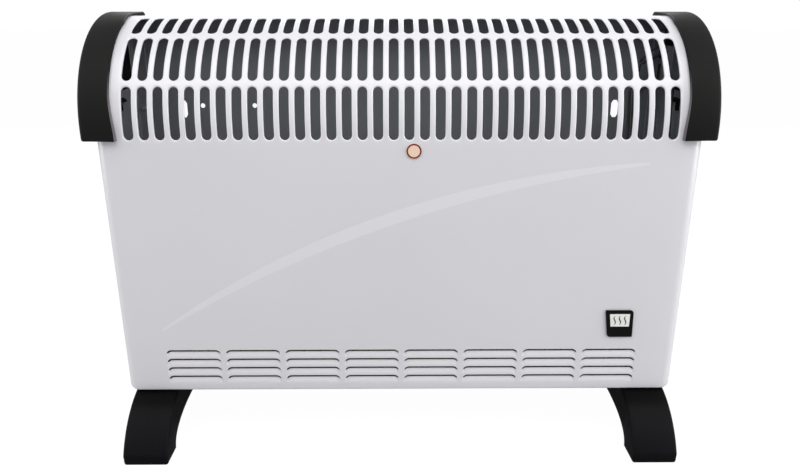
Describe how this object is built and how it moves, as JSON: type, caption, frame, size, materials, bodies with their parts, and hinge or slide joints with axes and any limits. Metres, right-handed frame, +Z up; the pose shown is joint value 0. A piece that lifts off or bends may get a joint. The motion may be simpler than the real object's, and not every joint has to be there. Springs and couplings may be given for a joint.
{
  "type": "convector heater",
  "caption": "Portable convector heater: slotted steel body with a rolled top, plastic end caps, thermostat knob and rocker switches in the right cap, and plastic arch feet.",
  "frame": {"origin": "on the floor, under the middle of the body", "axes": "+X towards the control end, +Y towards the back, +Z up"},
  "size_m": [0.531, 0.2, 0.3894],
  "materials": {
    "white_enamel": "glossy white stove enamel",
    "grey_steel": "dark grey coated sheet steel",
    "cap_plastic": "matte black moulded plastic",
    "foot_plastic": "fine-grained black moulded plastic",
    "knob_plastic": "satin black moulded plastic",
    "switch_plastic": "satin black nylon",
    "rocker_plastic": "gloss black",
    "zinc_steel": "zinc coated sheet steel",
    "nut_steel": "bright zinc plated",
    "mica": "pressed mica board",
    "heating_alloy": "dull resistance alloy",
    "gland_rubber": "black nylon",
    "terminal_ceramic": "cream glazed block",
    "lead_sleeve": "glass fibre sleeve",
    "badge_gloss": "gloss black plate",
    "sticker_print": "red ring printed on a cream disc",
    "screw_zinc": "bright zinc plated"
  },
  "bodies": {
    "heater_body": {"front_shell": "white_enamel", "rear_panel": "white_enamel", "bottom_plate": "grey_steel", "left_end_cap": "cap_plastic", "right_end_cap": "cap_plastic", "left_foot": "foot_plastic", "right_foot": "foot_plastic", "upper_switch_housing": "switch_plastic", "lower_switch_housing": "switch_plastic", "thermostat_body": "zinc_steel", "left_element_bracket": "zinc_steel", "centre_element_bracket": "zinc_steel", "right_element_bracket": "zinc_steel", "heat_shield": "zinc_steel", "thermal_cutout": "zinc_steel", "thermostat_nut": "nut_steel", "front_mica_board": "mica", "rear_mica_board": "mica", "front_heating_wire": "heating_alloy", "rear_heating_wire": "heating_alloy", "cord_gland": "gland_rubber", "terminal_block": "terminal_ceramic", "upper_supply_lead": "lead_sleeve", "thermostat_lead": "lead_sleeve", "front_element_lead": "lead_sleeve", "rear_element_lead": "lead_sleeve", "badge_plate": "badge_gloss", "ring_sticker": "sticker_print", "rear_screw_1": "screw_zinc", "rear_screw_2": "screw_zinc", "rear_screw_3": "screw_zinc", "rear_screw_4": "screw_zinc", "rear_screw_5": "screw_zinc", "rear_screw_6": "screw_zinc", "cap_screw_1": "screw_zinc", "cap_screw_2": "screw_zinc", "cap_screw_3": "screw_zinc", "cap_screw_4": "screw_zinc", "left_bracket_screw": "screw_zinc", "centre_bracket_screw": "screw_zinc", "right_bracket_screw": "screw_zinc", "left_shield_screw": "screw_zinc", "right_shield_screw": "screw_zinc", "foot_screw_1": "screw_zinc", "foot_screw_2": "screw_zinc", "foot_screw_3": "screw_zinc", "foot_screw_4": "screw_zinc"},
    "knob": {"thermostat_knob": "knob_plastic", "thermostat_shaft": "nut_steel"},
    "upper_rocker": {"upper_switch_rocker": "rocker_plastic"},
    "lower_rocker": {"lower_switch_rocker": "rocker_plastic"}
  },
  "joints": [
    {"name": "knob_turn", "type": "hinge", "parent": "heater_body", "child": "knob", "pos_m": [0.2585, 0.008, 0.345], "axis": [-1, 0, 0], "range_deg": [0, 280]},
    {"name": "upper_switch_rock", "type": "hinge", "parent": "heater_body", "child": "upper_rocker", "pos_m": [0.2582, 0.038, 0.357], "axis": [0, -1, 0], "range_deg": [0, 20]},
    {"name": "lower_switch_rock", "type": "hinge", "parent": "heater_body", "child": "lower_rocker", "pos_m": [0.2582, 0.038, 0.333], "axis": [0, -1, 0], "range_deg": [0, 20]}
  ]
}
